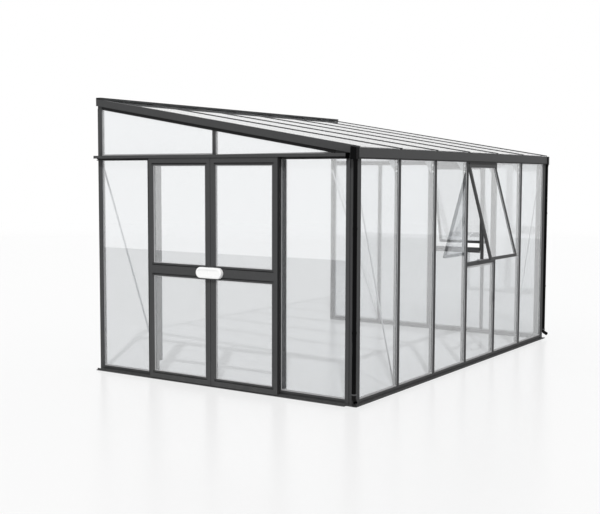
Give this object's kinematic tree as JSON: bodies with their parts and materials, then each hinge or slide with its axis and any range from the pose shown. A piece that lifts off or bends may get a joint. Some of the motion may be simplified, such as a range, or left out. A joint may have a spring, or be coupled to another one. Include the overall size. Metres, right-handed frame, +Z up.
{
  "type": "lean-to glass greenhouse",
  "caption": "Lean-to greenhouse with a dark aluminium frame, clear glass walls and pitched roof, double sliding doors in one gable, open top-hung vents and an eaves gutter with downpipes.",
  "frame": {"origin": "middle of the footprint's bounding box, at ground level", "axes": "+X along the wall away from the door gable, +Y from the front to the wall, +Z up"},
  "size_m": [4.7244, 3.1864, 2.6698],
  "materials": {
    "frame_coat": "satin anthracite powder coat",
    "wall_glass": "clear float glass",
    "roof_glass": "clear roof glass",
    "bare_aluminium": "mill finish",
    "black_plastic": "satin black",
    "grey_plastic": "satin grey",
    "white_plastic": "gloss white",
    "wheel_nylon": "nylon",
    "seal_rubber": "black rubber"
  },
  "bodies": {
    "frame": {"near_front_post": "frame_coat", "far_front_post": "frame_coat", "near_wall_post": "frame_coat", "far_wall_post": "frame_coat", "front_mullion_1": "frame_coat", "front_mullion_2": "frame_coat", "front_mullion_3": "frame_coat", "front_mullion_4": "frame_coat", "front_mullion_5": "frame_coat", "right_door_jamb": "frame_coat", "left_door_jamb": "frame_coat", "far_gable_posts": "frame_coat", "gable_centre_bars": "frame_coat", "front_base_rail": "frame_coat", "far_gable_base_rail": "frame_coat", "near_gable_base_rail": "frame_coat", "near_gable_transom": "frame_coat", "far_gable_transom": "frame_coat", "eaves_gutter": "frame_coat", "near_rake": "frame_coat", "far_rake": "frame_coat", "ridge_wall_plate": "frame_coat", "roof_bars": "frame_coat", "vent_sill_rails": "frame_coat", "vent_hinge_rails": "frame_coat", "front_vent_sash": "frame_coat", "far_vent_sash": "frame_coat", "door_top_track": "frame_coat", "door_floor_guide": "frame_coat", "front_panes": "wall_glass", "near_gable_panes": "wall_glass", "far_gable_panes": "wall_glass", "vent_panes": "wall_glass", "roof_panes": "roof_glass", "knee_plates": "bare_aluminium", "diagonal_braces": "bare_aluminium", "vent_stays": "bare_aluminium", "gutter_end_caps": "black_plastic", "near_downpipe": "black_plastic", "far_downpipe": "black_plastic", "downpipe_collars": "grey_plastic"},
    "left_door": {"left_door_frame": "frame_coat", "left_door_panes": "wall_glass", "left_door_pull": "white_plastic", "left_door_wheels": "wheel_nylon", "left_door_edge_seal": "seal_rubber"},
    "right_door": {"right_door_frame": "frame_coat", "right_door_panes": "wall_glass", "right_door_pull": "white_plastic", "right_door_wheels": "wheel_nylon", "right_door_edge_seal": "seal_rubber"}
  },
  "joints": [
    {"name": "left_door_slide", "type": "slide", "parent": "frame", "child": "left_door", "axis": [0, 1, 0], "range_m": [0, 0.66]},
    {"name": "right_door_slide", "type": "slide", "parent": "frame", "child": "right_door", "axis": [0, -1, 0], "range_m": [0, 0.66]}
  ]
}
